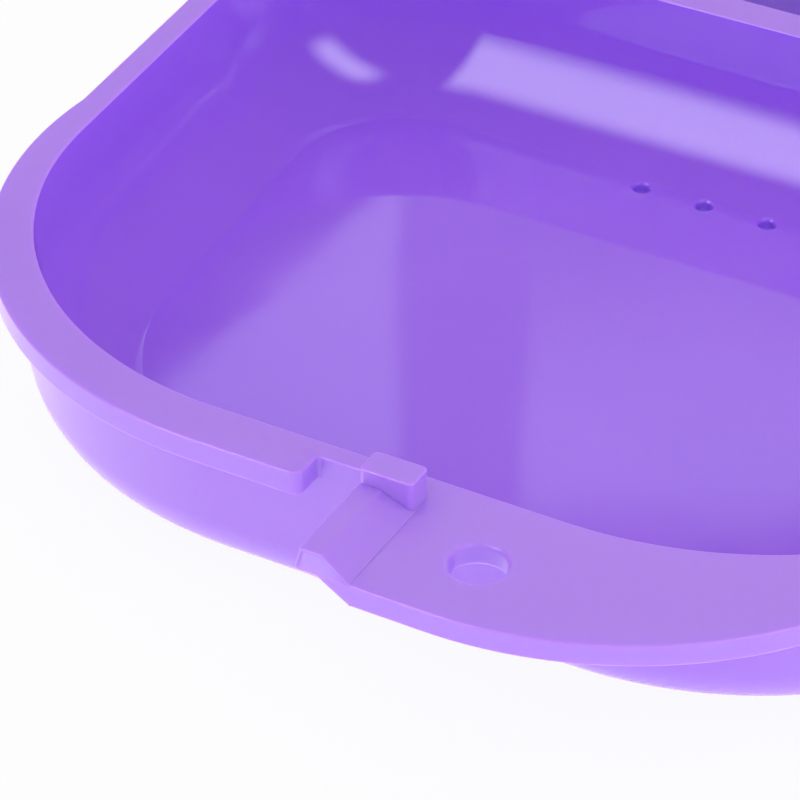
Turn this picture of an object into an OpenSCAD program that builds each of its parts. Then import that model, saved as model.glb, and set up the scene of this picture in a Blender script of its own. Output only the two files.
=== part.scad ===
// Retainer case: two identical moulded halves that snap together on one hinge line.
// Each half is a drafted tray with a flanged rim, a finger tab and one half of the latch.
// A half is drawn with the middle of its opening's front edge at the origin, its rim on z = 0
// and its hinge towards +Y. The case lies open and flat, hinge line over the origin.

/* [Opening] */
// Length of the straight front edge of the opening
front_flat = 24.4; // [16:0.2:30]
// Radius of the opening's two front corners
front_corner_r = 25; // [18:0.5:28]
// Radius of the opening's two back corners
back_corner_r = 15; // [9:0.5:18]
// Length of the opening from front to back
opening_len = 59; // [52:0.5:70]
// Angle at which the sides spread towards the back, in degrees
side_spread = 3.5; // [0:0.5:6]

/* [Tray] */
// Depth of one half, from the rim to its underside
half_depth = 12.6; // [10:0.2:16]
// Thickness of the wall at the rim
wall_t = 1.45; // [1.2:0.05:2]
// Thickness of the floor
floor_t = 1.5; // [1.2:0.1:2.4]
// Draft of the walls, in degrees
wall_draft = 4; // [1:0.5:6]
// Radius of the outer round between wall and floor
bottom_r = 4.6; // [3.4:0.2:6]
// Radius of the inner round between wall and floor
inner_r = 8; // [4:0.2:9]

/* [Rim] */
// Thickness of the flange round the rim
rim_t = 1.7; // [1.2:0.1:2.4]
// Reach of the flange from the opening, in front
rim_front = 3.75; // [3:0.05:5]
// Reach of the flange from the opening, along the sides
rim_side = 1.95; // [1.7:0.05:3]
// Reach of the flange from the opening, at the back
rim_back = 2.9; // [2.2:0.1:4]
// Extra reach of the flange round the front corners, which runs out along the sides
lip_extra = 0.4; // [0.1:0.1:1]
// Angle at which that extra reach runs out, in degrees
lip_lean = 5; // [3:0.5:8]

/* [Latch] */
// Distance of the latch's end face from the centre plane
latch_gap = 0.12; // [0.08:0.02:0.3]
// Width of the block that enters the other half's notch
block_w = 3.7; // [3:0.1:5]
// Height of the block above the rim
block_h = 2.05; // [1.5:0.05:3]
// Radius of the block's upright edges
block_edge_r = 0.4; // [0.2:0.05:0.6]
// Clearance of the block in the notch, at its end and behind it
latch_clear = 0.2; // [0.1:0.05:0.4]
// Rise of the tab's end above the rim
ramp_h = 1; // [0.6:0.05:1.4]
// Width of the level top of the raised end
ramp_land = 1.6; // [1:0.1:2]
// Width of the slope from the level top down to the tab
ramp_run = 2.2; // [1.6:0.1:3]
// Depth of the raised end's underside below the rim
ramp_under = 0.15; // [0.1:0.05:0.5]
// Setback of the raised end's top edge from the tab's front edge
ramp_setback = 0.6; // [0.3:0.1:1]

/* [Tab] */
// Thickness of the finger tab
tab_t = 1.55; // [1.2:0.05:2]
// Reach of the tab in front of the flange
tab_reach = 7.85; // [6:0.05:10]
// Distance from the centre plane at which the tab's front edge starts to curve
tab_flat = 8.8; // [6:0.1:12]
// Radius of the curve that runs back into the rim
tab_r = 25.2; // [22:0.1:28]
// Diameter of the hole in the tab
hole_d = 3.6; // [2.5:0.1:4.5]
// Distance of the hole from the centre plane
hole_x = 9.5; // [7:0.1:14]
// Distance of the hole from the flange's front edge
hole_reach = 2.35; // [2:0.05:4]

/* [Vents] */
// Number of vent holes in the row
vent_count = 4; // [1:1:7]
// Spacing of the vent holes
vent_pitch = 5; // [3:0.5:7]
// Diameter of a vent hole
vent_d = 1.2; // [0.8:0.1:2]
// Distance of the row from the opening's back edge
vent_from_back = 7.6; // [6:0.1:12]

/* [Hinge] */
// Distance of each knuckle's middle from the centre plane
hinge_x = 16; // [12:0.5:18]
// Distance of the hinge line behind the flange
hinge_reach = 3; // [2.8:0.1:4]
// Radius of the pin
pin_r = 1.2; // [1:0.05:1.4]
// Radial clearance of the pin in the clip
pin_clear = 0.05; // [0.03:0.01:0.08]
// Radius of the ears that carry the pin
ear_r = 2.2; // [1.8:0.1:2.4]
// Thickness of one ear
ear_t = 2.4; // [1.5:0.1:3]
// Thickness of the clip's wall
clip_wall = 1.05; // [0.8:0.05:1.2]
// Length of the clip along the pin
clip_len = 7.4; // [5:0.1:9]
// Clearance between the clip's ends and the ears
clip_end_clear = 0.3; // [0.2:0.05:0.5]
// Angle of the mouth through which the pin snaps in, in degrees
clip_mouth = 90; // [70:5:110]
// Gap between the two rims when the case is shut
parting_gap = 0.1; // [0.06:0.02:0.2]

/* [Hidden] */
$fn = 96;
plastic = "#a57fe8";

// Unit vector at an angle in plan
function unit(angle) = [cos(angle), sin(angle)];

// Plan outlines are lists of [centre, radius, start angle, end angle], one for each right-hand
// corner from front to back, followed by the mirrored left-hand corners from back to front.
function mirrored(corner) =
    [[-corner[0].x, corner[0].y], corner[1], 180 - corner[3], 180 - corner[2]];
function whole(right) = [each right, mirrored(right[1]), mirrored(right[0])];

// Centre distance that puts a corner of radius r against a side line drawn at a set distance
// from the opening's front corner centre
function beside(side, r, rise, spread) = (side - r + rise * sin(spread)) / cos(spread);

front_x = front_flat / 2;
front_y = front_corner_r;
opening_back_y = opening_len - back_corner_r;
opening_back_x = front_x
    + beside(front_corner_r, back_corner_r, opening_back_y - front_y, side_spread);
opening = whole([
    [[front_x, front_y], front_corner_r, -90, -side_spread],
    [[opening_back_x, opening_back_y], back_corner_r, -side_spread, 90]
]);

// The flange has its own corners, because its reach differs in front, beside and behind
function flange_corner(r, y, side, from, to) =
    [[front_x + beside(front_corner_r + side, r, y - front_y, side_spread), y], r, from, to];
rim_front_r = front_corner_r + (rim_front + rim_side) / 2;
rim_back_r = back_corner_r + rim_side;
rim = whole([
    flange_corner(rim_front_r, rim_front_r - rim_front, rim_side, -90, -side_spread),
    flange_corner(rim_back_r, opening_len + rim_back - rim_back_r, rim_side, -side_spread, 90)
]);

// The lip is the flange's wider front part: its sides lean in until they meet the rim
lip_r = rim_front_r - lip_extra / 2;
lip_centre = flange_corner(lip_r, lip_r - rim_front, rim_side + lip_extra, -90, lip_lean)[0];
lip_lap = 1;
lip_back_y = lip_centre.y + (lip_extra + lip_lap) / tan(side_spread + lip_lean);
lip_back_x = lip_centre.x + lip_r / cos(lip_lean) - (lip_back_y - lip_centre.y) * tan(lip_lean);

// The inner round leaves some plain wall below the rim
inner_foot_r = min(inner_r, half_depth - floor_t - rim_t);
block_right = latch_gap + block_w;
notch_left = -(block_right + latch_clear);
latch_back = wall_t + latch_clear;
tab_y = -(rim_front + tab_reach);
ramp_foot = latch_gap + ramp_land + ramp_run;
hinge_y = opening_len + rim_back + hinge_reach;
hinge_z = parting_gap / 2;
bore_r = pin_r + pin_clear;
clip_r = bore_r + clip_wall;
ear_middle = (clip_len + ear_t) / 2 + clip_end_clear;
overlap = 0.6;

// Flat plan area inside a list of corners
module plan_area(corners) {
    polygon([for (c = corners) each [c[0] + c[1] * unit(c[2]), c[0] + c[1] * unit(c[3])]]);
    for (c = corners) translate(c[0]) circle(r = c[1]);
}

// Distance from the opening's edge, along a section, to the middle of the round at a bowl's foot
function round_mid(side, foot_z, foot_r) =
    side + (foot_z + foot_r) * tan(wall_draft) - foot_r / cos(wall_draft);

// Section of a bowl from its inner limit out to the wall: drafted side, rounded foot
module bowl_section(inner, side, foot_z, foot_r, top_z) {
    round_z = foot_z + foot_r;
    round_x = round_mid(side, foot_z, foot_r);
    polygon([
        [inner, foot_z], [round_x, foot_z], [round_x, round_z],
        [round_x + foot_r * cos(wall_draft), round_z - foot_r * sin(wall_draft)],
        [side, 0], [side, top_z], [inner, top_z]
    ]);
    translate([round_x, round_z]) intersection() {
        circle(r = foot_r);
        translate([0, -foot_r]) square(foot_r);
    }
}

// Solid bowl whose wall follows the opening: corner turns, straight runs between them and a core
// that laps into both, clear of the round
module bowl(side, foot_z, foot_r, top_z = 0) {
    run_in = min(front_corner_r, back_corner_r);
    for (i = [0:3]) {
        corner = opening[i];
        next = opening[(i + 1) % 4];
        centre = corner[0];
        r = corner[1];
        run_from = centre + r * unit(corner[3]);
        run_to = next[0] + next[1] * unit(corner[3]);
        translate(centre) rotate(corner[2]) rotate_extrude(angle = corner[3] - corner[2])
            translate([r, 0]) bowl_section(-r, side, foot_z, foot_r, top_z);
        translate(run_to) rotate(corner[3]) rotate([90, 0, 0]) linear_extrude(norm(run_to - run_from))
            bowl_section(-run_in, side, foot_z, foot_r, top_z);
    }
    core_in = (run_in - round_mid(side, foot_z, foot_r)) / 2;
    translate([0, 0, foot_z]) linear_extrude(top_z - foot_z)
        polygon([for (c = opening) each
            [c[0] + (c[1] - core_in) * unit(c[2]), c[0] + (c[1] - core_in) * unit(c[3])]]);
}

// Flange round the rim, wider round the front corners, open at the notch
module flange() {
    difference() {
        translate([0, 0, -rim_t]) linear_extrude(rim_t) {
            plan_area(rim);
            polygon([
                [-lip_centre.x, -rim_front], [lip_centre.x, -rim_front],
                lip_centre + lip_r * unit(lip_lean), [lip_back_x, lip_back_y],
                [-lip_back_x, lip_back_y],
                [-lip_centre.x - lip_r * cos(lip_lean), lip_centre.y + lip_r * sin(lip_lean)]
            ]);
            for (side = [-1, 1]) translate([side * lip_centre.x, lip_centre.y]) circle(r = lip_r);
        }
        translate([notch_left, -rim_front - overlap, -rim_t - overlap])
            cube([latch_gap - notch_left, rim_front + overlap - wall_t, rim_t + 2 * overlap]);
    }
}

// Finger tab: level beyond the ramp, curving back into the rim
module tab_plate() {
    translate([0, 0, -tab_t]) linear_extrude(tab_t) {
        translate([ramp_foot, tab_y]) square([tab_flat - ramp_foot, -tab_y]);
        intersection() {
            translate([tab_flat, tab_y + tab_r]) circle(r = tab_r);
            translate([tab_flat, tab_y]) square([tab_r, tab_r]);
        }
    }
}

// Raised end of the tab: a jog of even thickness whose front face leans back above the rim
module tab_end() {
    difference() {
        translate([0, -latch_back, 0]) rotate([90, 0, 0]) linear_extrude(-latch_back - tab_y)
            polygon([
                [latch_gap, -ramp_under], [latch_gap + ramp_land, -ramp_under], [ramp_foot, -tab_t],
                [ramp_foot, 0], [latch_gap + ramp_land, ramp_h], [latch_gap, ramp_h]
            ]);
        rotate([90, 0, 90]) linear_extrude(ramp_foot + overlap)
            polygon([
                [tab_y, 0], [tab_y + ramp_setback, ramp_h],
                [tab_y + ramp_setback, ramp_h + overlap], [tab_y - overlap, ramp_h + overlap],
                [tab_y - overlap, 0]
            ]);
    }
}

// Block that stands on the flange and enters the other half's notch
module latch_block() {
    depth = rim_front - latch_back;
    translate([latch_gap, -rim_front, -ramp_under]) linear_extrude(ramp_under + block_h) {
        translate([block_edge_r, 0]) square([block_w - 2 * block_edge_r, depth]);
        translate([0, block_edge_r]) square([block_w, depth - 2 * block_edge_r]);
        for (x = [block_edge_r, block_w - block_edge_r], y = [block_edge_r, depth - block_edge_r])
            translate([x, y]) circle(r = block_edge_r);
    }
}

// Shape drawn in the plane across the hinge line, pulled along it about a middle
module across_hinge(middle, length) {
    translate([middle - length / 2, hinge_y, hinge_z]) rotate([90, 0, 90]) linear_extrude(length)
        children();
}

// Web from the flange's back edge to the hinge line
module hinge_web() {
    translate([-hinge_reach - overlap, -rim_t - hinge_z]) square([hinge_reach + overlap, rim_t]);
}

// Pin between two ears
module hinge_pin() {
    for (end = [-1, 1]) across_hinge(hinge_x + end * ear_middle, ear_t) {
        circle(r = ear_r);
        hinge_web();
    }
    across_hinge(hinge_x, 2 * ear_middle) circle(r = pin_r);
}

// Clip that snaps over the other half's pin
module hinge_clip() {
    across_hinge(-hinge_x, clip_len) difference() {
        union() {
            circle(r = clip_r);
            hinge_web();
        }
        circle(r = bore_r);
        polygon([
            [0, 0], 2 * clip_r * unit(90 - clip_mouth / 2), 3 * clip_r * unit(90),
            2 * clip_r * unit(90 + clip_mouth / 2)
        ]);
    }
}

// Row of vent holes through the floor, near the back
module vents() {
    for (i = [0:vent_count - 1])
        translate([(i - (vent_count - 1) / 2) * vent_pitch, opening_len - vent_from_back,
            -half_depth - overlap])
            cylinder(d = vent_d, h = floor_t + 2 * overlap);
}

// One moulded half
module half() {
    difference() {
        union() {
            bowl(wall_t, -half_depth, bottom_r);
            flange();
            tab_plate();
            tab_end();
        }
        bowl(0, floor_t - half_depth, inner_foot_r, overlap + ramp_h);
        vents();
        translate([hole_x, -rim_front - hole_reach, -tab_t - overlap])
            cylinder(d = hole_d, h = tab_t + 2 * overlap);
    }
    latch_block();
    hinge_pin();
    hinge_clip();
}

module base_half() {
    color(plastic) translate([0, -hinge_y, half_depth]) half();
}

module lid_half() {
    color(plastic) rotate(180) translate([0, -hinge_y, half_depth]) half();
}

base_half();
lid_half();
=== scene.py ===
"""Looks of the retainer case: its two moulded halves with rounded edges, in lilac plastic."""
import math

import bmesh
import bpy
import numpy as np
from mathutils import Matrix, Vector
from mathutils.geometry import delaunay_2d_cdt


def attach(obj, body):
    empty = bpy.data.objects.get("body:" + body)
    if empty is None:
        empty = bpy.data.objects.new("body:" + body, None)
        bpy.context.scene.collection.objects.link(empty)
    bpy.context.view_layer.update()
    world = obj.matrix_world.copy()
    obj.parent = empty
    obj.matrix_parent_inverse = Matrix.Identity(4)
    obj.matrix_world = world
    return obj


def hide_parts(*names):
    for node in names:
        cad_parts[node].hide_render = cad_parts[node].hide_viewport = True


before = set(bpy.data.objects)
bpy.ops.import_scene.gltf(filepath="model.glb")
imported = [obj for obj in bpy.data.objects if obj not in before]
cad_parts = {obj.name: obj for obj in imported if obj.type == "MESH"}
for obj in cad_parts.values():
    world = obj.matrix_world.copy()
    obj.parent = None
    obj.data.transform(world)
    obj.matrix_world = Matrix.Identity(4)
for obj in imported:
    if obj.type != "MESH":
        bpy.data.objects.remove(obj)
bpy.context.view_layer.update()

MM = 0.001

# Sizes of one half, in millimetres. The middle of its opening's front edge is the origin, its rim
# lies on z = 0 and its hinge is towards +Y.
FRONT_FLAT = 24.4
FRONT_CORNER_R = 25
BACK_CORNER_R = 15
OPENING_LEN = 59
SIDE_SPREAD = 3.5
HALF_DEPTH = 12.6
WALL_T = 1.45
FLOOR_T = 1.5
WALL_DRAFT = 4
BOTTOM_R = 4.6
INNER_R = 8
RIM_T = 1.7
RIM_FRONT = 3.75
RIM_SIDE = 1.95
RIM_BACK = 2.9
LIP_EXTRA = 0.4
LIP_LEAN = 5
LATCH_GAP = 0.12
LATCH_CLEAR = 0.2
BLOCK_W = 3.7
BLOCK_H = 2.05
RAMP_H = 1
RAMP_LAND = 1.6
RAMP_RUN = 2.2
RAMP_UNDER = 0.15
RAMP_SETBACK = 0.6
TAB_T = 1.55
TAB_REACH = 7.85
TAB_FLAT = 8.8
TAB_R = 25.2
HOLE_D = 3.6
HOLE_X = 9.5
HOLE_REACH = 2.35
VENT_COUNT = 4
VENT_PITCH = 5
VENT_D = 1.2
VENT_FROM_BACK = 7.6
HINGE_X = 16
HINGE_REACH = 3
PIN_R = 1.2
PIN_CLEAR = 0.05
EAR_R = 2.2
EAR_T = 2.4
CLIP_WALL = 1.05
CLIP_LEN = 7.4
CLIP_END_CLEAR = 0.3
CLIP_MOUTH = 90
HINGE_Z = 0.05

# Edge rounds that a moulding has
EDGE_R = 0.15
LAND_EDGE_R = 0.35
INNER_EDGE_R = 0.15
BLOCK_EDGE_R = 0.1
BLOCK_CORNER_R = 0.4
TAB_CORNER_R = 0.5
NOTCH_END_R = 0.7
NOTCH_INNER_R = 0.3
HINGE_EDGE_R = 0.15
HOLE_MOUTH = 0.3
VENT_MOUTH = 0.3

# The turn where the round inside the tray meets the floor, in degrees and in width
FLOOR_BREAK = 11
BREAK_W = 0.06

# The tab's raised end: how it fades towards the rim, leans at the front and turns at crest and foot
RISE_START_Y = -2.1
RISE_MIDDLE_Y = -2.8
RISE_FADE = 1.5
LEAN_FADE = 3
CREST_HALF_W = 0.08
CREASE_DEEP = 0.05
CREASE_HALF_W = 0.06
RAMP_SOFTNESS = 0.02
RAMP_MARGIN = 0.5

# How finely arcs and edge rounds are cut
ARC_STEP = 2
CORNER_STEP = 15
HINGE_ARC_STEP = 6
PIN_ARC_STEP = 8
HOLE_ARC_STEP = 9
MOUTH_ANGLES = (80, 60, 40, 20, 0)
ROUND_STEPS = 7
HINGE_ROUND_STEPS = 6
STRAIGHT_STEPS = 4
WALL_STEPS = 25
SHARP_ANGLE = 22

# Small steps that keep points apart, and how far pieces reach into each other
EDGE_STEP = 0.02
BLOCK_FOOT = 0.05
OVERLAP = 0.6

NOTCH_LEFT = -(LATCH_GAP + BLOCK_W + LATCH_CLEAR)
TAB_Y = -(RIM_FRONT + TAB_REACH)
RAMP_TOP_X = LATCH_GAP + RAMP_LAND
RAMP_FOOT = RAMP_TOP_X + RAMP_RUN
RISE_FULL_Y = RISE_START_Y - RISE_FADE
HINGE_Y = OPENING_LEN + RIM_BACK + HINGE_REACH
WEB_TOP = -HINGE_Z
WEB_LOW = -HINGE_Z - RIM_T
WEB_BACK = -HINGE_REACH - OVERLAP
DRAFT = math.tan(math.radians(WALL_DRAFT))

# Lines and rows of points that cut the tab's raised end into faces, and points along its edges
LAND_LINES = (0.7, 1.2)
PAST_FOOT = 0.4
RAMP_LINES = [LATCH_GAP + x for x in LAND_LINES]
RAMP_LINES += [RAMP_TOP_X + x for x in (-CREST_HALF_W, 0, CREST_HALF_W, RAMP_RUN / 3)]
RAMP_LINES += [RAMP_FOOT + x for x in (-RAMP_RUN / 3, -CREASE_HALF_W, 0, CREASE_HALF_W, PAST_FOOT)]
RAMP_ROWS = [-10.6, -9, -7.5, -6, -4.8, -3.9, RISE_FULL_Y, RISE_MIDDLE_Y, RISE_START_Y]
TAB_END_Y = -7
TAB_FRONT_X = 6
NOTCH_LEAD = 2


def unit(angle):
    """Unit vector at an angle in degrees."""
    return np.array([math.cos(math.radians(angle)), math.sin(math.radians(angle))])


def arc(centre, r, start, end, step=ARC_STEP):
    """Points along an arc, both ends included."""
    count = max(2, math.ceil(abs(end - start) / step) + 1)
    return [np.array(centre) + r * unit(a) for a in np.linspace(start, end, count)]


def beside(side, r, rise):
    """Centre distance that puts a corner of radius r against a spreading side line."""
    spread = math.radians(SIDE_SPREAD)
    return (side - r + rise * math.sin(spread)) / math.cos(spread)


def corner_centre(r, y, side):
    """Centre of a right-hand corner whose side line lies at a set reach from the opening."""
    return np.array([FRONT_FLAT / 2 + beside(FRONT_CORNER_R + side, r, y - FRONT_CORNER_R), y])


BACK_CENTRE = corner_centre(BACK_CORNER_R, OPENING_LEN - BACK_CORNER_R, 0)
OPENING = [
    (np.array([FRONT_FLAT / 2, FRONT_CORNER_R]), FRONT_CORNER_R, -90, -SIDE_SPREAD),
    (BACK_CENTRE, BACK_CORNER_R, -SIDE_SPREAD, 90),
]
OPENING += [(c * (-1, 1), r, 180 - b, 180 - a) for c, r, a, b in reversed(OPENING)]


def opening_ring(offset, z):
    """Ring of points round the opening, moved out by an offset, at height z."""
    flat = []
    for centre, r, start, end in OPENING:
        steps = math.ceil((end - start) / ARC_STEP) + 1
        flat += [centre + (r + offset) * unit(a) for a in np.linspace(start, end, steps)]
    return [(x, y, z) for x, y in flat]


def rounded(path):
    """Polyline whose corners are rounded. Each entry is (point, radius), with 0 for a plain point."""
    points = []
    for i, (point, radius) in enumerate(path):
        point = np.array(point, float)
        if not radius:
            points.append(point)
            continue
        before = np.array(path[i - 1][0], float) - point
        after = np.array(path[(i + 1) % len(path)][0], float) - point
        before /= np.linalg.norm(before)
        after /= np.linalg.norm(after)
        half = math.acos(np.clip(before @ after, -1, 1)) / 2
        bisector = (before + after) / np.linalg.norm(before + after)
        centre = point + bisector * radius / math.sin(half)
        first = point + before * radius / math.tan(half) - centre
        last = point + after * radius / math.tan(half) - centre
        start = math.degrees(math.atan2(first[1], first[0]))
        turn = (math.degrees(math.atan2(last[1], last[0])) - start + 180) % 360 - 180
        points += arc(centre, radius, start, start + turn, CORNER_STEP)
    return points


def inset(points, amount):
    """Closed counter-clockwise loop moved in by an amount, one for all points or one each."""
    p = np.array(points, float)
    ahead = np.roll(p, -1, 0) - p
    ahead /= np.linalg.norm(ahead, axis=1)[:, None]
    normal = np.stack([ahead[:, 1], -ahead[:, 0]], 1)
    previous = np.roll(normal, 1, 0)
    mitre = (normal + previous) / (1 + (normal * previous).sum(1))[:, None]
    return p - mitre * np.broadcast_to(amount, len(p))[:, None]


def circles_meet(c1, r1, c2, r2):
    """Right-hand point where two circles cross."""
    between = c2 - c1
    d = np.linalg.norm(between)
    along = (r1 * r1 - r2 * r2 + d * d) / (2 * d)
    across = math.sqrt(r1 * r1 - along * along)
    along_dir = between / d
    across_dir = np.array([-along_dir[1], along_dir[0]])
    points = [c1 + along * along_dir + side * across * across_dir for side in (-1, 1)]
    return max(points, key=lambda q: q[0])


def angle_of(point, centre):
    """Angle of a point about a centre, in degrees."""
    return math.degrees(math.atan2(*(np.array(point) - centre)[::-1]))


def lines_meet(p, u, q, v):
    """Point where two lines given by point and direction cross."""
    t = np.linalg.solve(np.stack([u, -v], 1), q - p)[0]
    return p + t * u


def inside(point, loop):
    """Whether a point lies inside a closed loop in plan."""
    x, y = point
    a = loop
    b = np.roll(loop, -1, 0)
    crosses = (a[:, 1] > y) != (b[:, 1] > y)
    ax, ay = a[crosses].T
    bx, by = b[crosses].T
    at = ax + (y - ay) * (bx - ax) / (by - ay)
    return (at > x).sum() % 2 == 1


def flange_outline():
    """Outer outline of flange, notch and tab in plan, and the plate's thickness at each point."""
    lip_r = FRONT_CORNER_R + (RIM_FRONT + RIM_SIDE - LIP_EXTRA) / 2
    lip_centre = corner_centre(lip_r, lip_r - RIM_FRONT, RIM_SIDE + LIP_EXTRA)
    back_r = BACK_CORNER_R + RIM_SIDE
    back_centre = corner_centre(back_r, OPENING_LEN + RIM_BACK - back_r, RIM_SIDE)
    lip_end = lines_meet(lip_centre + lip_r * unit(LIP_LEAN), unit(90 + LIP_LEAN),
                         back_centre + back_r * unit(-SIDE_SPREAD), unit(90 - SIDE_SPREAD))
    tab_centre = np.array([TAB_FLAT, TAB_Y + TAB_R])
    join = circles_meet(tab_centre, TAB_R, lip_centre, lip_r)

    right = arc(lip_centre, lip_r, angle_of(join, lip_centre), LIP_LEAN)[1:]
    right += [lip_end] + arc(back_centre, back_r, -SIDE_SPREAD, 90)
    left = arc(back_centre, back_r, 90, -SIDE_SPREAD) + [lip_end]
    left += arc(lip_centre, lip_r, LIP_LEAN, -90)
    left = [q * (-1, 1) for q in left]
    notch = rounded([
        ((NOTCH_LEFT - NOTCH_LEAD, -RIM_FRONT), 0),
        ((NOTCH_LEFT, -RIM_FRONT), NOTCH_END_R),
        ((NOTCH_LEFT, -WALL_T), NOTCH_INNER_R),
        ((LATCH_GAP, -WALL_T), NOTCH_INNER_R),
        ((LATCH_GAP, RISE_START_Y), 0),
        ((LATCH_GAP, RISE_MIDDLE_Y), 0),
    ])
    tab_end = [
        ((LATCH_GAP, RISE_FULL_Y), 0),
        ((LATCH_GAP, TAB_END_Y), 0),
        ((LATCH_GAP, TAB_Y), TAB_CORNER_R),
    ]
    past_corner = LATCH_GAP + 2 * TAB_CORNER_R
    tab_front = [((x, TAB_Y), 0) for x in RAMP_LINES + [TAB_FRONT_X] if x > past_corner]
    tab = rounded(tab_end + tab_front)
    tab += arc(tab_centre, TAB_R, -90, angle_of(join, tab_centre))
    points = notch + tab + right + left
    thickness = np.full(len(points), RIM_T)
    thickness[len(notch):len(notch) + len(tab)] = TAB_T
    return np.array(points), thickness


def soft_clamp(t):
    """Value held between 0 and 1, with rounded turns."""
    def soft_floor(v):
        return 0.5 * (v + math.sqrt(v * v + RAMP_SOFTNESS * RAMP_SOFTNESS))
    return min(1, max(0, soft_floor(t) - soft_floor(t - 1)))


def raised(x, y):
    """Share of its full rise that the tab's end has at a point, with the crease at the ramp's foot."""
    if x < LATCH_GAP - EDGE_STEP / 2 or x > RAMP_FOOT + RAMP_MARGIN:
        return 0
    fade = min(1, max(0, (RISE_START_Y - y) / RISE_FADE))
    crease = max(0, 1 - abs(x - RAMP_FOOT) / CREASE_HALF_W) * CREASE_DEEP / RAMP_H
    return (soft_clamp((RAMP_FOOT - x) / RAMP_RUN) - crease) * fade


# How the flat filling is made: only faces inside its edges, and points this near are one
FILL_INSIDE = 1
FILL_NEAR = 1e-6


class Surface:
    """Points and faces of a closed surface, in millimetres."""

    def __init__(self):
        self.points = []
        self.faces = []

    def ring(self, points):
        """Adds points and returns their numbers."""
        start = len(self.points)
        self.points += [tuple(map(float, p)) for p in points]
        return list(range(start, len(self.points)))

    def bridge(self, a, b):
        """Joins two closed rings of as many points."""
        for i in range(len(a)):
            j = (i + 1) % len(a)
            self.faces.append((a[i], a[j], b[j], b[i]))

    def bridge_all(self, rings):
        """Adds rings of points, joins each to the next, and returns the first and last."""
        numbers = [self.ring(r) for r in rings]
        for a, b in zip(numbers, numbers[1:]):
            self.bridge(a, b)
        return numbers[0], numbers[-1]

    def cap(self, ring):
        """Closes a ring with one flat face."""
        self.faces.append(tuple(ring))

    def fill_between(self, outer, inner, extra):
        """Fills between an outer and an inner ring, through extra points that lie between them."""
        numbers = outer + inner + self.ring(extra)
        flat = [Vector(self.points[n][:2]) for n in numbers]
        edges = [(i, (i + 1) % len(outer)) for i in range(len(outer))]
        edges += [(len(outer) + i, len(outer) + (i + 1) % len(inner)) for i in range(len(inner))]
        _, _, faces, origin, _, _ = delaunay_2d_cdt(flat, edges, [], FILL_INSIDE, FILL_NEAR)
        hole = np.array([self.points[n][:2] for n in inner])
        for face in faces:
            face = [numbers[origin[k][0]] for k in face]
            middle = np.mean([self.points[n][:2] for n in face], 0)
            if not inside(middle, hole):
                self.faces.append(tuple(face))

    def make(self, name):
        """New object of this surface, in metres."""
        mesh = bpy.data.meshes.new(name)
        mesh.from_pydata([[v * MM for v in p] for p in self.points], [], self.faces)
        bm = bmesh.new()
        bm.from_mesh(mesh)
        bmesh.ops.recalc_face_normals(bm, faces=bm.faces)
        bm.to_mesh(mesh)
        bm.free()
        piece = bpy.data.objects.new(name, mesh)
        bpy.context.scene.collection.objects.link(piece)
        return piece

    def make_closed(self, name, rings):
        """New object of rings joined in order, with both ends capped."""
        first, last = self.bridge_all(rings)
        self.cap(first)
        self.cap(last)
        return self.make(name)


def wall_rings(side, top_z, foot_z, foot_r, foot_break=0):
    """Rings down a drafted wall from top_z and round its foot to the flat below.

    With a break, the round meets the flat at that many degrees, in a narrow turn.
    """
    draft = math.radians(WALL_DRAFT)
    break_rise = BREAK_W * math.tan(math.radians(foot_break)) / 2
    round_z = foot_z + break_rise + foot_r * math.cos(math.radians(foot_break))
    round_x = side + round_z * DRAFT - foot_r / math.cos(draft)
    straight = np.linspace(top_z, round_z - foot_r * math.sin(draft), STRAIGHT_STEPS)
    rings = [(side + z * DRAFT, z) for z in straight]
    for a in np.linspace(-WALL_DRAFT, foot_break - 90, WALL_STEPS)[1:]:
        rings.append(np.array([round_x, round_z]) + foot_r * unit(a))
    if foot_break:
        rings.append((rings[-1][0] - BREAK_W, foot_z))
    return [opening_ring(offset, z) for offset, z in rings]


def inner_rings():
    """Rings over the opening's rounded edge, down the inside and to the floor."""
    draft = math.radians(WALL_DRAFT)
    middle = INNER_EDGE_R * (1 - math.sin(draft)) / math.cos(draft)
    rings = []
    for phi in np.linspace(0, 90 - WALL_DRAFT, ROUND_STEPS):
        out, up = INNER_EDGE_R * unit(90 - phi)
        rings.append(opening_ring(middle - out, up - INNER_EDGE_R))
    below = -INNER_EDGE_R * (1 - math.sin(draft))
    return rings + wall_rings(0, below, FLOOR_T - HALF_DEPTH, INNER_R, FLOOR_BREAK)[1:]


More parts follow.
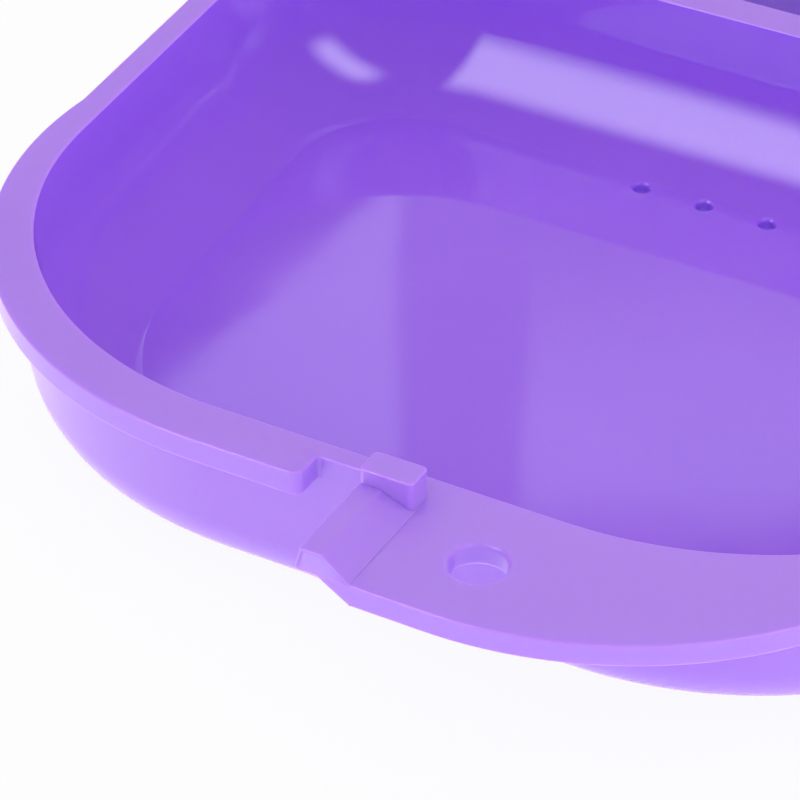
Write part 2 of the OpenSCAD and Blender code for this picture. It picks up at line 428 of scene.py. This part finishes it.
def flange_rings():
    """Rings round the flange's outer edge, from its top face to its underside."""
    outline, thickness = flange_outline()
    x, y = outline.T
    lift = np.array([raised(*point) for point in outline])
    top_z = lift * RAMP_H
    under_z = -thickness + lift * (TAB_T - RAMP_UNDER)
    at_end = np.clip((LATCH_GAP + TAB_CORNER_R - x) / TAB_CORNER_R, 0, 1)
    edge_r = EDGE_R + (LAND_EDGE_R - EDGE_R) * lift * at_end
    lean = RAMP_SETBACK * np.maximum(lift, 0) * np.clip(1 - (y - TAB_Y) / LEAN_FADE, 0, 1)
    in_notch = (np.abs(x - NOTCH_LEFT / 2) < -NOTCH_LEFT) & (np.abs(y + RIM_FRONT / 2) < RIM_FRONT)
    on_wall = np.clip((y + WALL_T + NOTCH_INNER_R) / NOTCH_INNER_R, 0, 1)

    rings = []
    for phi in np.linspace(0, 90, ROUND_STEPS):
        out, up = unit(90 - phi)
        loop = inset(outline, edge_r * (1 - out))
        rings.append(np.column_stack([loop[:, 0], loop[:, 1] + lean, top_z - edge_r * (1 - up)]))
    rings.append(np.column_stack([outline, np.minimum(0, top_z - edge_r - EDGE_STEP)]))
    under_r = np.minimum(EDGE_R, -under_z - EDGE_STEP)
    for phi in np.linspace(90, 180, ROUND_STEPS):
        out, up = unit(90 - phi)
        z = under_z + under_r * (1 + up)
        to_wall = -z * DRAFT - EDGE_STEP / 4
        plain = under_r * (1 - out)
        by_notch = np.minimum(plain, to_wall) * (1 - on_wall) + to_wall * on_wall
        loop = inset(outline, np.where(in_notch, by_notch, plain))
        rings.append(np.column_stack([loop, z]))
    return rings


def tray():
    """The tray with its flange and tab, as one closed surface."""
    s = Surface()
    top_edge, under_edge = s.bridge_all(flange_rings())
    inner, floor_edge = s.bridge_all(inner_rings())
    s.cap(floor_edge)
    outer, bottom_edge = s.bridge_all(wall_rings(WALL_T, -RIM_T, -HALF_DEPTH, BOTTOM_R))
    s.cap(bottom_edge)

    grid = [(x, y, raised(x, y)) for x in RAMP_LINES for y in RAMP_ROWS]
    tab_top = [(x, y, lift * RAMP_H) for x, y, lift in grid]
    tab_under = [(x, y, lift * (TAB_T - RAMP_UNDER) - TAB_T) for x, y, lift in grid]
    s.fill_between(top_edge, inner, tab_top)
    s.fill_between(under_edge, outer, tab_under)
    return s.make("tray")


def latch_block():
    """Block that stands on the flange beside the notch."""
    left, right = LATCH_GAP + EDGE_STEP, LATCH_GAP + BLOCK_W
    front, back = -RIM_FRONT, -WALL_T - LATCH_CLEAR
    corners = ((left, front), (right, front), (right, back), (left, back))
    outline = rounded([(corner, BLOCK_CORNER_R) for corner in corners])
    rings = [np.column_stack([outline, np.full(len(outline), -RAMP_UNDER + BLOCK_FOOT)])]
    for phi in np.linspace(0, 90, ROUND_STEPS):
        out, up = BLOCK_EDGE_R * unit(phi)
        z = BLOCK_H - BLOCK_EDGE_R + up
        rings.append(np.column_stack([inset(outline, BLOCK_EDGE_R - out), np.full(len(outline), z)]))
    return Surface().make_closed("latch_block", rings)


def hinge_prism(name, outline, middle, length):
    """Piece of the hinge: an outline across the hinge line, pulled along it, with rounded ends."""
    rings = []
    for end in (-1, 1):
        for phi in np.linspace(0, 90, HINGE_ROUND_STEPS)[::end]:
            out, along = HINGE_EDGE_R * unit(phi)
            loop = inset(outline, HINGE_EDGE_R - out)
            x = middle + end * (length / 2 - HINGE_EDGE_R + along)
            rings.append([(x, HINGE_Y + y, HINGE_Z + z) for y, z in loop])
    return Surface().make_closed(name, rings)


def web_angles(r):
    """Angles in degrees at which the web's top and underside meet a round about the hinge line."""
    return [180 - math.degrees(math.asin(z / r)) for z in (WEB_TOP, WEB_LOW)]


def web_and_round(r):
    """Outline across the hinge of a web from the flange that ends in a round."""
    top, low = web_angles(r)
    round_end = arc((0, 0), r, low, top + 360, HINGE_ARC_STEP)
    return [(WEB_BACK, WEB_LOW)] + round_end + [(WEB_BACK, WEB_TOP)]


def clip_outline():
    """Outline across the hinge of the clip: web, ring and the mouth that the pin snaps through."""
    bore = PIN_R + PIN_CLEAR
    r = bore + CLIP_WALL
    near = 90 + CLIP_MOUTH / 2
    far = 90 - CLIP_MOUTH / 2 + 360
    top, low = web_angles(r)
    outline = arc((0, 0), r, near, top, HINGE_ARC_STEP)
    outline += [(WEB_BACK, WEB_TOP), (WEB_BACK, WEB_LOW)]
    outline += arc((0, 0), r, low, far, HINGE_ARC_STEP)
    return outline + arc((0, 0), bore, far, near, HINGE_ARC_STEP)


def hinge():
    """Pin between two ears on one side, and clip on the other."""
    ear_middle = (CLIP_LEN + EAR_T) / 2 + CLIP_END_CLEAR
    ear = web_and_round(EAR_R)
    pin = arc((0, 0), PIN_R, 0, 360, PIN_ARC_STEP)[:-1]
    return [
        hinge_prism("ear_near", ear, HINGE_X - ear_middle, EAR_T),
        hinge_prism("ear_far", ear, HINGE_X + ear_middle, EAR_T),
        hinge_prism("pin", pin, HINGE_X, 2 * ear_middle),
        hinge_prism("clip", clip_outline(), -HINGE_X, CLIP_LEN),
    ]


def round_cutter(name, x, y, r, mouth, low, high):
    """Cutter for a round hole with softened mouths, between two heights."""
    profile = [(r + mouth, low - OVERLAP)]
    for phi in MOUTH_ANGLES:
        out, up = unit(phi)
        profile.append((r + mouth * (1 - out), low + mouth * (1 - up)))
    profile += [(q, high + low - z) for q, z in reversed(profile)]
    turn = [unit(a) for a in range(0, 360, HOLE_ARC_STEP)]
    rings = [[(x + q * c, y + q * d, z) for c, d in turn] for q, z in profile]
    return Surface().make_closed(name, rings)


def hole_cutters():
    """Cutters for the hole in the tab and the row of vents."""
    hole_y = -RIM_FRONT - HOLE_REACH
    cutters = [round_cutter("tab_hole", HOLE_X, hole_y, HOLE_D / 2, HOLE_MOUTH, -TAB_T, 0)]
    vent_y = OPENING_LEN - VENT_FROM_BACK
    floor_z = FLOOR_T - HALF_DEPTH
    for i in range(VENT_COUNT):
        x = (i - (VENT_COUNT - 1) / 2) * VENT_PITCH
        vent = round_cutter(f"vent_{i}", x, vent_y, VENT_D / 2, VENT_MOUTH, -HALF_DEPTH, floor_z)
        cutters.append(vent)
    return cutters


def combine(body, tools, operation):
    """Joins or cuts a body with each tool in turn, and removes the tools."""
    for tool in tools:
        step = body.modifiers.new(tool.name, "BOOLEAN")
        step.operation = operation
        step.solver = "MANIFOLD"
        step.object = tool
    result = body.evaluated_get(bpy.context.evaluated_depsgraph_get())
    mesh = bpy.data.meshes.new_from_object(result)
    body.modifiers.clear()
    body.data = mesh
    for tool in tools:
        bpy.data.objects.remove(tool)


def half_mesh():
    """Mesh of one half, in metres, placed as the base half lies."""
    body = tray()
    combine(body, [latch_block()] + hinge(), "UNION")
    combine(body, hole_cutters(), "DIFFERENCE")
    mesh = body.data
    bpy.data.objects.remove(body)
    mesh.transform(Matrix.Translation(Vector((0, -HINGE_Y, HALF_DEPTH)) * MM))
    mesh.shade_smooth()
    mesh.set_sharp_from_angle(angle=math.radians(SHARP_ANGLE))
    return mesh


# Faces at least this level get the strongest weight of the Weighted Normal modifier
FLAT_ENOUGH = 0.9999
STRONG = 16384


def mark_faces(mesh):
    """Marks level faces, whose normals are kept, and the faces inside the tray, which get the polished
    finish with its painted shade.
    """
    loop = np.array(opening_ring(0, 0))[:, :2]
    strength = mesh.attributes.new("__mod_weightednormals_faceweight", "INT", "FACE")
    for face, weight in zip(mesh.polygons, strength.data):
        weight.value = STRONG if abs(face.normal.z) > FLAT_ENOUGH else 0
        x, y, z = np.array(face.center) / MM + (0, HINGE_Y, -HALF_DEPTH)
        between = -HALF_DEPTH + FLOOR_T / 2 < z < -INNER_EDGE_R / 2
        # Faces inside the tray take the polished material, whose darker shades are painted shade
        face.material_index = int(between and inside((x, y), loop))


class Shading:
    """Short ways to add nodes to a node tree."""

    def __init__(self, tree):
        self.tree = tree

    def plug(self, socket, value):
        """Sets an input, or links it to another node's output."""
        if isinstance(value, bpy.types.NodeSocket):
            self.tree.links.new(value, socket)
        else:
            socket.default_value = value

    def math(self, operation, *values):
        """Math node."""
        node = self.tree.nodes.new("ShaderNodeMath")
        node.operation = operation
        for socket, value in zip(node.inputs, values):
            self.plug(socket, value)
        return node.outputs[0]

    def dot(self, vector, axis):
        """Dot product with a set axis."""
        node = self.tree.nodes.new("ShaderNodeVectorMath")
        node.operation = "DOT_PRODUCT"
        self.plug(node.inputs[0], vector)
        node.inputs[1].default_value = axis
        return node.outputs["Value"]

    def noise(self, place, scale, detail):
        """Noise at a place, as many cycles to the metre as the scale says."""
        node = self.tree.nodes.new("ShaderNodeTexNoise")
        self.plug(node.inputs["Vector"], place)
        node.inputs["Scale"].default_value = scale
        node.inputs["Detail"].default_value = detail
        return node.outputs["Fac"]

    def ramp(self, value, span, low, high, smooth=True):
        """Value mapped from a span to low and high, and held there."""
        node = self.tree.nodes.new("ShaderNodeMapRange")
        if smooth:
            node.interpolation_type = "SMOOTHSTEP"
        for name, number in zip(("From Min", "From Max", "To Min", "To Max"), (*span, low, high)):
            node.inputs[name].default_value = number
        self.plug(node.inputs["Value"], value)
        return node.outputs["Result"]

    def patch(self, direction, spans, level):
        """Soft-edged patch of light where a direction lies in every span."""
        light = level
        for axis, edge in spans:
            light = self.math("MULTIPLY", light, self.ramp(self.dot(direction, axis), edge, 0, 1))
        return light


# The two finishes: shades, span of roughness, and length and height of the waviness in metres. The
# polished finish's shades are darker than the satin's: painted shade for the dimmer light inside the
# tray.
SATIN_SHADES = ((0.45, 0.236, 0.84), (0.47, 0.252, 0.86))
SATIN_ROUGH = (0.29, 0.32)
SATIN_WAVE = (0.006, 2e-6)
# Darker, bluer shades of the same plastic: painted shade inside the tray
POLISH_PAINTED_SHADE = ((0.36, 0.139, 0.84), (0.375, 0.147, 0.86))
POLISH_ROUGH = (0.035, 0.05)
POLISH_WAVE = (0.016, 2e-5)

# What both finishes share: scattering in millimetres, and the noise that blends shades and wear
PLASTIC_IOR = 1.49
SCATTER_LEN = (0.6, 0.4, 0.65)
FLOW_SCALE = 40
FLOW_DETAIL = 3
FLOW_SPAN = (0.35, 0.65)
WEAR_SCALE = 90
WEAR_DETAIL = 1
WEAR_SPAN = (0.3, 0.7)
WAVE_DETAIL = 2


def plastic(name, shades, roughness, wave):
    """Moulded plastic between two shades, with a span of roughness and a waviness."""
    material = bpy.data.materials.new(name)
    material.use_nodes = True
    tree = material.node_tree
    shading = Shading(tree)
    shader = tree.nodes["Principled BSDF"]
    shader.inputs["IOR"].default_value = PLASTIC_IOR
    shader.inputs["Subsurface Weight"].default_value = 1
    shader.inputs["Subsurface Radius"].default_value = SCATTER_LEN
    shader.inputs["Subsurface Scale"].default_value = MM

    place = tree.nodes.new("ShaderNodeTexCoord").outputs["Object"]
    flow = shading.noise(place, FLOW_SCALE, FLOW_DETAIL)
    blend = tree.nodes.new("ShaderNodeMix")
    blend.data_type = "RGBA"
    shading.plug(blend.inputs["Factor"], shading.ramp(flow, FLOW_SPAN, 0, 1))
    for socket, shade in zip("AB", shades):
        blend.inputs[socket].default_value = (*shade, 1)
    shading.plug(shader.inputs["Base Color"], blend.outputs["Result"])

    wear = shading.noise(place, WEAR_SCALE, WEAR_DETAIL)
    shading.plug(shader.inputs["Roughness"], shading.ramp(wear, WEAR_SPAN, *roughness))

    wave_len, wave_height = wave
    bump = tree.nodes.new("ShaderNodeBump")
    bump.inputs["Distance"].default_value = wave_height
    shading.plug(bump.inputs["Height"], shading.noise(place, 1 / wave_len, WAVE_DETAIL))
    shading.plug(shader.inputs["Normal"], bump.outputs["Normal"])
    return material


def halves():
    """Both halves of the case: the lid is the base turned half round."""
    mesh = half_mesh()
    mesh.materials.clear()
    mesh.materials.append(plastic("lilac_satin", SATIN_SHADES, SATIN_ROUGH, SATIN_WAVE))
    # The polished material is also darker in colour: painted shade for the inside of the tray
    mesh.materials.append(plastic("lilac_polished_painted_shade", POLISH_PAINTED_SHADE, POLISH_ROUGH, POLISH_WAVE))
    mark_faces(mesh)
    turned = mesh.copy()
    turned.transform(Matrix.Rotation(math.pi, 4, "Z"))
    for name, body, data in (("base", "base", mesh), ("lid", "lid", turned)):
        piece = bpy.data.objects.new(f"{name}_moulding", data)
        bpy.context.scene.collection.objects.link(piece)
        even = piece.modifiers.new("even_normals", "WEIGHTED_NORMAL")
        even.keep_sharp = True
        even.use_face_influence = True
        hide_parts(f"{name}_half")
        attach(piece, body)


# Camera, in degrees and millimetres
CAMERA_AZIMUTH = 29.02
CAMERA_ELEVATION = 35.59
CAMERA_DISTANCE = 235.82
CAMERA_TARGET = (-2.458, -58.835, 12.6)
CAMERA_LENS = 171.1
CAMERA_SENSOR = 36
CAMERA_NEAR = 10


def camera():
    """Camera at the photograph's angle."""
    data = bpy.data.cameras.new("camera")
    data.lens = CAMERA_LENS
    data.sensor_width = CAMERA_SENSOR
    data.clip_start = CAMERA_NEAR * MM
    eye = bpy.data.objects.new("camera", data)
    bpy.context.scene.collection.objects.link(eye)
    around = math.radians(CAMERA_AZIMUTH)
    rise = math.radians(CAMERA_ELEVATION)
    level = math.cos(rise)
    back = Vector((math.sin(around) * level, -math.cos(around) * level, math.sin(rise)))
    eye.location = (Vector(CAMERA_TARGET) + back * CAMERA_DISTANCE) * MM
    eye.rotation_euler = (math.pi / 2 - rise, 0, around)
    bpy.context.scene.camera = eye


# Dome that lights the object: its level at the horizon and overhead, and how it leans to one side
DOME_SIDE = 1.25
DOME_TOP = 0.82
DOME_LEAN = (0.15, 0, 0)

# What shows in the gloss: a dim room, and bright areas in it
ROOM_LEVEL = 0.13
GAP_LEVEL = 0.65
LEFT_SCREEN_LEVEL = 1.55
RIGHT_SCREEN_LEVEL = 1.5
BOX_LEVEL = 6.2

# The bright areas: spans of the direction along set axes, with soft edges
SCREEN_LEFT_EDGE = ((0.784, -0.008, 0.620), (-0.002, 0.004))
SCREEN_RIGHT_EDGE = ((-0.866, 0.5, 0), (0.60, 0.63))
SCREEN_TOP_EDGE = ((0, 0, -1), (-0.622, -0.597))
SCREEN_LOW_EDGE = ((0, 0, 1), (0.46, 0.52))
GAP_EDGE = (0.012, 0.019)
GAP = [SCREEN_LEFT_EDGE, SCREEN_RIGHT_EDGE, SCREEN_TOP_EDGE, SCREEN_LOW_EDGE]
LEFT_SCREEN = [
    SCREEN_LEFT_EDGE,
    SCREEN_RIGHT_EDGE,
    SCREEN_TOP_EDGE,
    ((-0.884, -0.468, 0), GAP_EDGE),
    SCREEN_LOW_EDGE,
]
RIGHT_SCREEN = [
    SCREEN_RIGHT_EDGE,
    SCREEN_TOP_EDGE,
    ((0.884, 0.468, 0), GAP_EDGE),
    ((0, 0, 1), (0.50, 0.60)),
]
LEFT_BOX = [
    ((-1, 0, 0.165), (0.27, 0.41)),
    ((1, 0, 0), (-0.7, -0.6)),
    ((0, -1, 0), (0.06, 0.46)),
    ((0, 0, 1), (0.02, 0.5)),
]
STRIP_ACROSS = (0.194, 0.976, 0.096)
STRIP_WIDTH = (0, 0.23)
STRIP_BOX = [
    ((1, 0, 0), (0.16, 0.48)),
    ((0, 0, 1), (0.14, 0.54)),
]


def surround():
    """White surround: a soft dome that lights the object, and screens and soft boxes in its gloss."""
    world = bpy.data.worlds.new("surround")
    bpy.context.scene.world = world
    world.use_nodes = True
    shading = Shading(world.node_tree)
    nodes = world.node_tree.nodes
    background = nodes["Background"]
    background.inputs["Color"].default_value = (1, 1, 1, 1)
    direction = nodes.new("ShaderNodeTexCoord").outputs["Generated"]
    path = nodes.new("ShaderNodeLightPath")

    height = shading.dot(direction, (0, 0, 1))
    dome = shading.ramp(height, (0, 1), DOME_SIDE, DOME_TOP, smooth=False)
    dome = shading.math("MULTIPLY_ADD", dome, shading.dot(direction, DOME_LEAN), dome)
    from_middle = shading.math("ABSOLUTE", shading.dot(direction, STRIP_ACROSS))
    strip = shading.ramp(from_middle, STRIP_WIDTH, BOX_LEVEL, 0)
    patches = [
        (GAP, GAP_LEVEL),
        (LEFT_SCREEN, LEFT_SCREEN_LEVEL),
        (RIGHT_SCREEN, RIGHT_SCREEN_LEVEL),
        (LEFT_BOX, BOX_LEVEL),
        (STRIP_BOX, strip),
    ]
    seen = ROOM_LEVEL
    for spans, level in patches:
        seen = shading.math("MAXIMUM", seen, shading.patch(direction, spans, level))
    glossy = shading.math("MULTIPLY", path.outputs["Is Glossy Ray"], seen)
    dull = shading.math("SUBTRACT", 1, path.outputs["Is Glossy Ray"])
    light = shading.math("MULTIPLY_ADD", dull, dome, glossy)
    strength = shading.math("MAXIMUM", light, path.outputs["Is Camera Ray"])
    shading.plug(background.inputs["Strength"], strength)


# Floor: side in metres, how white it is, and its glow for the camera, for dull faces and for gloss
FLOOR_SIDE = 4
FLOOR_WHITE = 0.9
FLOOR_ROUGH = 0.8
FLOOR_GLOW = 0.92
TABLE_LEVEL = 0.32
TABLE_SHINE = 1


def floor():
    """White floor that keeps a faint shadow."""
    bpy.ops.mesh.primitive_plane_add(size=FLOOR_SIDE)
    plane = bpy.context.object
    plane.name = "floor"
    material = bpy.data.materials.new("floor_white")
    material.use_nodes = True
    tree = material.node_tree
    shading = Shading(tree)
    shader = tree.nodes["Principled BSDF"]
    shader.inputs["Base Color"].default_value = (FLOOR_WHITE, FLOOR_WHITE, FLOOR_WHITE, 1)
    shader.inputs["Roughness"].default_value = FLOOR_ROUGH
    shader.inputs["Emission Color"].default_value = (1, 1, 1, 1)
    path = tree.nodes.new("ShaderNodeLightPath")
    shine = shading.math("MULTIPLY", path.outputs["Is Glossy Ray"], TABLE_SHINE)
    table = shading.math("MULTIPLY_ADD", path.outputs["Is Diffuse Ray"], TABLE_LEVEL, shine)
    shading.plug(shader.inputs["Emission Strength"], table)

    glow = tree.nodes.new("ShaderNodeEmission")
    mix = tree.nodes.new("ShaderNodeMixShader")
    to_camera = shading.math("MULTIPLY", path.outputs["Is Camera Ray"], FLOOR_GLOW)
    shading.plug(mix.inputs["Fac"], to_camera)
    shading.plug(mix.inputs[1], shader.outputs[0])
    shading.plug(mix.inputs[2], glow.outputs[0])
    shading.plug(tree.nodes["Material Output"].inputs["Surface"], mix.outputs[0])
    plane.data.materials.append(material)


halves()
camera()
surround()
floor()
bpy.context.scene.view_settings.view_transform = "Standard"
